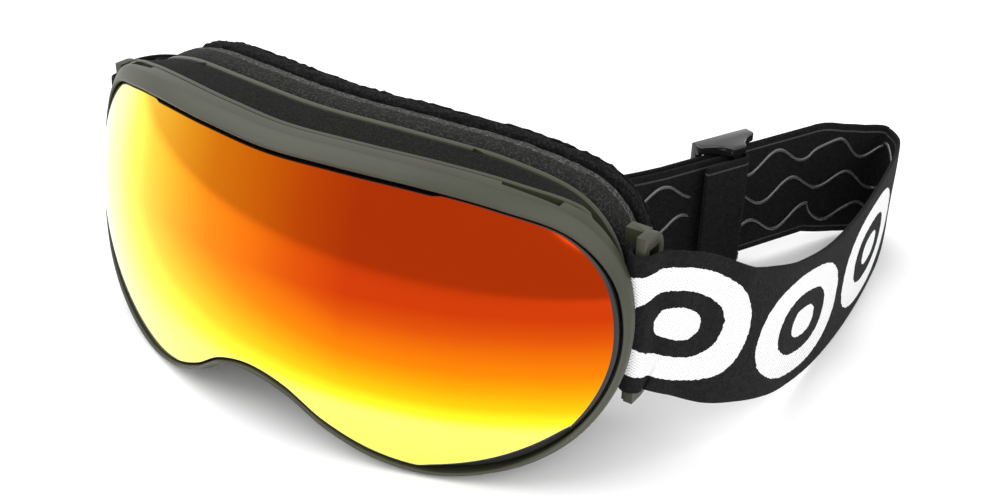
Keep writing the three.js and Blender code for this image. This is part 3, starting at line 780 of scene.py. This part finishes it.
class GogglesSettings(bpy.types.PropertyGroup):
    """Sizes and colours that can be changed."""

    frame_colour: bpy.props.FloatVectorProperty(
        name="Frame colour", description="Colour of the moulded frame", subtype="COLOR",
        size=3, min=0, max=1, default=(0.032, 0.033, 0.018))
    oval_spacing: bpy.props.FloatProperty(
        name="Oval spacing", description="Distance along the strap from one woven oval to the next",
        default=0.060, min=0.02, max=0.2, unit="LENGTH")
    edge_softness: bpy.props.FloatProperty(
        name="Edge softness", description="Rounding of the moulded frame's edges",
        default=0.0006, min=0.0001, max=0.002, unit="LENGTH")
    nap: bpy.props.FloatProperty(
        name="Nap", description="Height of the fleece's nap",
        default=0.0008, min=0, max=0.002, unit="LENGTH")
    floor_colour: bpy.props.FloatVectorProperty(
        name="Floor colour", description="Colour of the floor", subtype="COLOR",
        size=3, min=0, max=1, default=(0.97, 0.97, 0.97))


class Builder:
    """What every operator here shares."""

    bl_options = {"REGISTER", "UNDO"}

    def execute(self, context):
        self.build(context.scene.goggles)
        return {"FINISHED"}


# ---------------------------------------------------------------- lens set

def lens_sheet(name, deeper, thickness, inset_of, rings=30):
    """A curved sheet from its middle to its edge, front and back, closed round the edge."""
    profile = [(r / rings, 0.0) for r in range(rings)]
    profile += [(0.991, 0.0), (0.9965, 0.0), (1.0, 0.2), (1.0, thickness - 0.2), (0.9965, thickness)]
    profile += [(r / rings, thickness) for r in reversed(range(rings))]
    edges = [at(step, -inset_of(step), 0) for step in LENS_RING]
    last = len(profile) - 1

    def place(u, v):
        edge = edges[round(u * RING) % RING]
        share, depth = profile[round(v * last)]
        x, z = edge.x * share, mix(LENS_CORE_Z, edge.z, share)
        return x, lens_y(x, z, deeper + depth), z

    piece = wrapped_grid(name, RING, last, place)
    band = 1 / last
    for face in piece.data.polygons:
        v = sum(piece.data.uv_layers[0].data[i].uv.y for i in face.loop_indices) / face.loop_total
        ring = int(v / band)
        # The edge band takes the second finish, which on the outer lens is the painted shade of the gap
        # round it.
        face.material_index = 0 if ring < rings else 1 if ring < rings + 4 else 2
    close_up(piece)
    return piece


class GOGGLES_OT_outer_lens(Builder, bpy.types.Operator):
    """Add the mirrored outer lens"""

    bl_idname = "goggles.outer_lens"
    bl_label = "Outer lens"

    def build(self, settings):
        lens = lens_sheet("mirrored_lens", 0.0, LENS_T, lens_edge_inset)
        dress(lens, "lens_mirror", mirror_painted_reflection(), lens_edge_painted_shade(), lens_inside())
        shade(lens, 30)
        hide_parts("outer_lens")
        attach(lens, "lens")


class GOGGLES_OT_inner_lens(Builder, bpy.types.Operator):
    """Add the inner lens, the seal between the lenses and the gasket under the edge"""

    bl_idname = "goggles.inner_lens"
    bl_label = "Inner lens and seals"

    def build(self, settings):
        lens = lens_sheet("clear_inner_lens", LENS_SPACING, INNER_LENS_T, lambda step: 7.0, rings=16)
        dress(lens, "lens_inner", clear_sheet(), clear_sheet(), clear_sheet())
        shade(lens, 30)
        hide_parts("inner_lens")
        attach(lens, "lens")
        seal = ring_piece("spacer_seal", self.seal_section, 0.5)
        gasket = ring_piece("ledge_gasket", self.gasket_section, 0.35)
        for piece, node, body in ((seal, "lens_seal", "lens"), (gasket, "lens_gasket", "frame")):
            dress(piece, "seal_rubber", black_rubber())
            shade(piece)
            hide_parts(node)
            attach(piece, body)

    @staticmethod
    def seal_section(k):
        def corner(out, deeper):
            p = at(LENS_RING[k], out, 0)
            return Vector((p.x, lens_y(p.x, p.z, deeper), p.z))
        front, back = LENS_T + SEAL_GAP, LENS_SPACING - SEAL_GAP
        return [corner(-7.2, front), corner(-9.8, front), corner(-9.8, back), corner(-7.2, back)]

    @staticmethod
    def gasket_section(k):
        step = LENS_RING[k]
        front = edge_y(step) + LENS_T + 1.3
        back = edge_y(step) + LEDGE_Y - 0.3
        return [
            at(step, 0.2, front), at(step, 0.2, back), at(step, -2.9, back), at(step, -2.9, front + 0.2),
        ]


# ---------------------------------------------------------------- frame

class GOGGLES_OT_front_frame(Builder, bpy.types.Operator):
    """Add the front frame, a continuous rim with two long slots in its upper back edge"""

    bl_idname = "goggles.front_frame"
    bl_label = "Front frame"

    def build(self, settings):
        rim = ring_piece("front_rim", self.section, settings.edge_softness * 1000)
        for side in (-1, 1):
            cut_with(rim, self.slot_cutter(side))
        dress(rim, "frame_olive", olive_plastic())
        shade(rim, 32)
        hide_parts("front_frame")
        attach(rim, "frame")

    @staticmethod
    def section(k):
        step = LENS_RING[k]
        y, w = edge_y(step), rim_width(step)
        back, lean = y + rim_back(step), step.nx ** 4
        lip, wall = min(1.3, w / 2), min(1.4, w - 1.2)
        return [
            at(step, 0.5, y - 0.7 + 1.9 * lean), at(step, lip, y - 1.3 + 2.3 * lean),
            at(step, max(lip + 0.2, w - 1.5), y + 0.5 + 1.3 * lean), at(step, w, y + 2.6 + 0.4 * lean),
            at(step, w, back), at(step, wall, back), at(step, wall, y + LEDGE_Y + 1.2),
            at(step, -3.2, y + LEDGE_Y + 1.2), at(step, -3.2, y + LEDGE_Y), at(step, 0.5, y + LEDGE_Y),
        ]

    @staticmethod
    def slot_cutter(side):
        """A slot 3.4 mm deep from the back edge, narrower at its front, turned to follow the brow."""
        cutter = box_cutter("slot_cutter", (-10.5, -3.4, -1), (10.5, 8, 9), 0.72)
        middle = 66.0
        turn = Matrix.Rotation(0.33, 4, "Z") @ Matrix.Rotation(0.27, 4, "Y")
        cutter.data.transform(Matrix.Translation(-metres(0, 0, 0)))
        cutter.data.transform(turn)
        place = Vector((middle, lens_y(middle, 79.5) + RIM_BACK, 79.2))
        cutter.data.transform(Matrix.Translation(place / 1000))
        if side < 0:
            cutter.data.transform(Matrix.Diagonal((-1, 1, 1, 1)))
            cutter.data.flip_normals()
        cutter.data.transform(Matrix.Translation(metres(0, 0, 0)))
        return cutter


class GOGGLES_OT_face_frame(Builder, bpy.types.Operator):
    """Add the face frame: a ridge behind the rim, a vented wall and the flange for the foam"""

    bl_idname = "goggles.face_frame"
    bl_label = "Face frame"

    def build(self, settings):
        wall = ring_piece("vented_face_frame", self.section, 0.35, steps=2)
        for x in WINDOWS_X:
            front = lens_y(x, 82) + RIM_BACK + RIDGE_T + 3.4
            back = face_y(x, 82) - FOAM_STACK - 3.4
            cut_with(wall, box_cutter("window", (x - 7.5, front, 66), (x + 7.5, back, 96)))
        dress(wall, "frame_olive", olive_plastic())
        shade(wall, 32)
        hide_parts("face_frame")
        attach(wall, "frame")

    @staticmethod
    def section(k):
        step, face = LENS_RING[k], FACE_RING[k]
        y, back = edge_y(step) + rim_back(step) + 0.3, flange_y(face)
        ridge, floor = ridge_out(step), channel_floor(step)
        return [
            at(step, ridge, y), at(step, ridge, y + RIDGE_T), at(step, floor, y + RIDGE_T + 0.4),
            at(face, 0.6, back - 2.2), at(face, 3.6, back - 1.8), at(face, 3.6, back),
            at(face, -4.2, back), at(step, min(-2.4, ridge - 2.6), y),
        ]


class GOGGLES_OT_vent_foams(Builder, bpy.types.Operator):
    """Add the open-cell foam in the channel over the brow and under both cheeks"""

    bl_idname = "goggles.vent_foams"
    bl_label = "Vent foams"

    def build(self, settings):
        per_step = RING // 64
        for name, first, last, node in (
            ("brow_vent_foam", -11, 11, "vent_foam_top"),
            ("left_cheek_vent_foam", 21, 26, "vent_foam_cheek_right"),
            ("right_cheek_vent_foam", -26, -21, "vent_foam_cheek_left"),
        ):
            foam_strip = strip_piece(name, self.section, first * per_step, last * per_step, 0.5)
            dress(foam_strip, "foam_vent", vent_mesh())
            shade(foam_strip, 60)
            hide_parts(node)
            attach(foam_strip, "frame")

    @staticmethod
    def section(k):
        step, face = LENS_RING[k], FACE_RING[k]
        front = edge_y(step) + rim_back(step) + RIDGE_T + 0.9
        back = flange_y(face) - 2.5
        inner = channel_floor(step) + 0.3
        outer = max(inner + 0.7, ridge_out(step) - 0.7)
        return [at(step, inner, front), at(step, outer, front), at(face, 3.5, back), at(face, 0.9, back)]


class GOGGLES_OT_outriggers(Builder, bpy.types.Operator):
    """Add the two flat loops that hold the strap away from the frame"""

    bl_idname = "goggles.outriggers"
    bl_label = "Outriggers"

    def build(self, settings):
        for side in ("left", "right"):
            loop = rounded_copy(f"outrigger_{side}", f"strap_loop_{side}", 0.0007)
            dress(loop, "frame_olive", olive_plastic())
            shade(loop, 40)
            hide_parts(f"outrigger_{side}")
            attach(loop, "frame")


# ---------------------------------------------------------------- face foams

def foam_layer(name, start, end, out, into, crown, rough):
    """A layer of face foam from one depth behind the flange to the next, crowned and rough."""
    def section(k):
        step = FACE_RING[k]
        front, back = flange_y(step) + FOAM_GAP + start, flange_y(step) + FOAM_GAP + end
        narrow = 1 - 0.3 * math.exp(-((step.x / 16) ** 2)) * smooth(62, 40, step.z)
        inner, middle = -into * narrow, (out - into * narrow) / 2
        swell = 0.35
        return [
            at(step, out, front), at(step, out + swell, (front + back) / 2),
            at(step, out - crown * 0.4, back),
            at(step, middle, back + 0.1), at(step, inner + crown * 0.4, back),
            at(step, inner - swell, (front + back) / 2), at(step, inner, front),
        ]
    layer = ring_piece(name, section, crown, steps=5)
    roughen(layer, rough)
    shade(layer, 70)
    return layer


def roughen(piece, height):
    """Moves each corner along its normal by smooth noise, so that the outline isn't clean."""
    for vertex in piece.data.vertices:
        lift = noise.noise(vertex.co * 900) + 0.5 * noise.noise(vertex.co * 2300)
        vertex.co += vertex.normal * height * lift


class GOGGLES_OT_face_foams(Builder, bpy.types.Operator):
    """Add the charcoal foam, the soft black foam and the fleece that meets the face"""

    bl_idname = "goggles.face_foams"
    bl_label = "Face foams"

    def build(self, settings):
        black_from = CHARCOAL_T + FOAM_GAP
        fleece_from = black_from + BLACK_T + FOAM_GAP
        nap = settings.nap
        layers = (
            ("charcoal_foam", -0.3, black_from - 0.15, FOAM_OUT, FOAM_IN, 3.2, nap * 0.35,
             charcoal_foam(), "foam_charcoal", "face_foam_charcoal"),
            ("black_foam", black_from, fleece_from - 0.15, FOAM_OUT - 0.4, FOAM_IN, 1.8, nap * 0.8,
             black_foam(), "foam_black", "face_foam_black"),
            ("face_fleece_layer", fleece_from, fleece_from + FLEECE_T, FOAM_OUT - 1.4, FOAM_IN - 1, 0.9, nap,
             fleece(), "fleece", "face_fleece"),
        )
        for name, start, end, out, into, crown, rough, finish, slot, node in layers:
            layer = foam_layer(name, start, end, out, into, crown, rough)
            # The charcoal layer's side gets the painted shade; the rest keeps the unshaded foam.
            if node == "face_foam_charcoal":
                self.mark_painted_shade(layer)
                dress(layer, slot, finish, charcoal_painted_shade())
            else:
                dress(layer, slot, finish)
            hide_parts(node)
            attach(layer, "frame")


    @staticmethod
    def mark_painted_shade(layer):
        """The smoother side, painted darker as shade, runs from the flange to a share of the layer's depth.
        """
        for face in layer.data.polygons:
            x, y, z = (c * 1000 for c in face.center)
            x, y = x + FOOTPRINT_MID[0], y + FOOTPRINT_MID[1]
            depth = y - face_y(x, z) + FOAM_STACK
            face.material_index = 1 if depth < CHARCOAL_T * PAINTED_SHADE_SHARE else 0


# ---------------------------------------------------------------- strap

def webbing_piece(name, rows, sides=44):
    """A ribbon of webbing along the rows, with thin rounded selvedges, printed on its outside."""
    last = len(rows) + 1

    def row_at(u):
        k = round(u * last)
        return rows[min(max(k - 1, 0), len(rows) - 1)], k in (0, last)

    def place(u, v):
        row, end = row_at(u)
        turn = 2 * math.pi * v
        across = -STRAP_W / 2 * math.cos(turn)
        bulge = math.copysign(abs(math.sin(turn)) ** 0.3, math.sin(turn))
        return on_row(row, across, 0 if end else -STRAP_T / 2 * bulge)

    distances = [0.0, 0.0]
    for a, b in zip(rows, rows[1:]):
        distances.append(distances[-1] + (b.middle - a.middle).length)
    distances.append(distances[-1])
    piece = wrapped_grid(name, last, sides, place)
    uv = piece.data.uv_layers[0].data
    for face in piece.data.polygons:
        middle = sum(uv[i].uv.y for i in face.loop_indices) / face.loop_total
        face.material_index = 0 if middle < 0.5 else 1
    for loop in uv:
        along, around = loop.uv
        loop.uv = distances[round(along * last)] / STRAP_W, 0.5 - 0.5 * math.cos(2 * math.pi * around)
    close_up(piece)
    return piece, distances[-1]


class GOGGLES_OT_strap(Builder, bpy.types.Operator):
    """Add the strap's outer layer, from the sewn end on the right to the inside of the left loop"""

    bl_idname = "goggles.strap"
    bl_label = "Strap"

    def build(self, settings):
        strap, length = webbing_piece("elastic_strap", webbing_rows())
        dress(strap, "elastic_webbing", printed_webbing(), plain_webbing())
        shade(strap, 60)
        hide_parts("strap_main", "strap_end_left", "strap_end_right")
        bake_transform(strap)


def stretch_towards_slider(piece):
    """Bakes the piece's transform into its mesh."""
    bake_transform(piece)


class GOGGLES_OT_inner_layer(Builder, bpy.types.Operator):
    """Add the strap's doubled-back layer, whose end is sewn round the slider's inner bar"""

    bl_idname = "goggles.inner_layer"
    bl_label = "Doubled-back layer"

    def build(self, settings):
        layer, length = webbing_piece("doubled_layer", inner_layer_rows())
        dress(layer, "elastic_webbing", plain_webbing(), plain_webbing())
        shade(layer, 60)
        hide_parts("strap_inner_layer", "slider_tail")
        stretch_towards_slider(layer)


class GOGGLES_OT_grip_lines(Builder, bpy.types.Operator):
    """Add the three wavy silicone lines on the inside of each layer"""

    bl_idname = "goggles.grip_lines"
    bl_label = "Silicone lines"

    def build(self, settings):
        outer_from, outer_to = SLIDER_S - 10, strap_at(114, 5)
        inner_from, inner_to = strap_at(-62, -9.5), INNER_LAYER_END - 2
        for line, height in (("top", 12), ("middle", 0), ("bottom", -12)):
            outer = self.bead(f"silicone_{line}", outer_from, outer_to, STRAP_T / 2, height)
            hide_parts(f"grip_line_{line}")
            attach(outer, "strap")
            inner = self.bead(f"inner_silicone_{line}", inner_from, inner_to, LAYER_2 + STRAP_T / 2, height)
            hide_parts(f"inner_grip_line_{line}")
            stretch_towards_slider(inner)

    @staticmethod
    def bead(name, start, end, inward, height):
        """A low half-round bead that waves along the strap."""
        wave, swing, width, lift = 25.0, 3.2, 1.2, 0.5
        rows = int((end - start) / 0.9)
        sides = 8

        def place(u, v):
            k = round(u * rows)
            s = mix(start, end, k / rows)
            middle = height + swing * math.sin(2 * math.pi * s / wave + height / 6)
            size = 0.0 if k in (0, rows) else 1.0
            turn = 2 * math.pi * v
            raised = max(-0.12, lift * math.sin(turn))
            return on_row(strap_row(s), middle + size * width / 2 * math.cos(turn), inward + size * raised)

        bead = wrapped_grid(name, rows, sides, place)
        close_up(bead)
        dress(bead, "grip_silicone", silicone())
        shade(bead, 60)
        return bead


class GOGGLES_OT_slider(Builder, bpy.types.Operator):
    """Add the moulded adjuster"""

    bl_idname = "goggles.slider"
    bl_label = "Adjuster"

    def build(self, settings):
        adjuster = rounded_copy("strap_slider", "strap_adjuster", 0.0006)
        dress(adjuster, "slider_plastic", gloss_plastic())
        shade(adjuster, 40)
        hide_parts("strap_slider")
        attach(adjuster, "slider")


# ---------------------------------------------------------------- stage

CAMERA_AT = (229.0, -328.2, 239.6)
CAMERA_TURN = (33.263, 29.667, 1.728)     # azimuth, elevation and roll, in degrees
CAMERA_LENS = 50.4


class GOGGLES_OT_stage(Builder, bpy.types.Operator):
    """Add the floor, the lights and the camera"""

    bl_idname = "goggles.stage"
    bl_label = "Stage"

    def build(self, settings):
        self.floor(settings.floor_colour)
        self.light("key", (-0.5, -0.4, 1.0), 1.4, 9)
        self.light("fill", (0.9, -0.5, 0.7), 1.1, 5)
        world = bpy.data.worlds.new("soft studio")
        world.use_nodes = True
        world.node_tree.nodes["Background"].inputs["Color"].default_value = (1, 1, 1, 1)
        world.node_tree.nodes["Background"].inputs["Strength"].default_value = 1.0
        bpy.context.scene.world = world
        bpy.context.scene.view_settings.view_transform = "Standard"
        self.camera()

    @staticmethod
    def floor(colour):
        bpy.ops.object.select_all(action="DESELECT")
        bpy.ops.mesh.primitive_grid_add(x_subdivisions=4, y_subdivisions=4, size=6)
        floor = bpy.context.active_object
        floor.name = "floor"
        for vertex in floor.data.vertices:
            vertex.co.z = -0.0002
        finish = Finish("pale floor", colour, 0.9)
        floor.data.materials.append(finish.material)

    @staticmethod
    def light(name, place, size, power):
        bpy.ops.object.light_add(type="AREA", location=place)
        light = bpy.context.active_object
        light.name = name
        light.data.shape = "DISK"
        light.data.size = size
        light.data.energy = power
        aim = Vector((0, 0, 0.04)) - Vector(place)
        light.rotation_euler = aim.to_track_quat("-Z", "Y").to_euler()

    @staticmethod
    def camera():
        azimuth, elevation, roll = (math.radians(a) for a in CAMERA_TURN)
        ahead = Vector((-math.sin(azimuth) * math.cos(elevation),
                        math.cos(azimuth) * math.cos(elevation), -math.sin(elevation)))
        level = ahead.cross(Vector((0, 0, 1))).normalized()
        above = level.cross(ahead)
        right = level * math.cos(roll) + above * math.sin(roll)
        up = above * math.cos(roll) - level * math.sin(roll)
        bpy.ops.object.camera_add(location=(0, 0, 0))
        camera = bpy.context.active_object
        turn = Matrix((right, up, -ahead)).transposed().to_4x4()
        camera.matrix_world = Matrix.Translation(metres(*CAMERA_AT)) @ turn
        camera.data.sensor_width = 36
        camera.data.lens = CAMERA_LENS
        camera.data.clip_start = 0.01
        camera.data.clip_end = 20
        bpy.context.scene.camera = camera


# ---------------------------------------------------------------- add-on

OPERATORS = (
    GOGGLES_OT_outer_lens, GOGGLES_OT_inner_lens, GOGGLES_OT_front_frame, GOGGLES_OT_face_frame,
    GOGGLES_OT_vent_foams, GOGGLES_OT_face_foams, GOGGLES_OT_outriggers, GOGGLES_OT_slider,
    GOGGLES_OT_strap, GOGGLES_OT_inner_layer, GOGGLES_OT_grip_lines, GOGGLES_OT_stage,
)


class GOGGLES_PT_panel(bpy.types.Panel):
    """Lists the settings and one button for each piece"""

    bl_idname = "GOGGLES_PT_panel"
    bl_label = "Ski goggles"
    bl_space_type = "VIEW_3D"
    bl_region_type = "UI"
    bl_category = "Goggles"

    def draw(self, context):
        settings = context.scene.goggles
        for name in settings.__annotations__:
            self.layout.prop(settings, name)
        for operator in OPERATORS:
            self.layout.operator(operator.bl_idname)


CLASSES = (GogglesSettings, *OPERATORS, GOGGLES_PT_panel)


def register():
    for cls in CLASSES:
        bpy.utils.register_class(cls)
    bpy.types.Scene.goggles = bpy.props.PointerProperty(type=GogglesSettings)


def unregister():
    del bpy.types.Scene.goggles
    for cls in reversed(CLASSES):
        bpy.utils.unregister_class(cls)


def main():
    register()
    for operator in OPERATORS:
        group, name = operator.bl_idname.split(".")
        getattr(getattr(bpy.ops, group), name)()


if __name__ == "__main__":
    main()
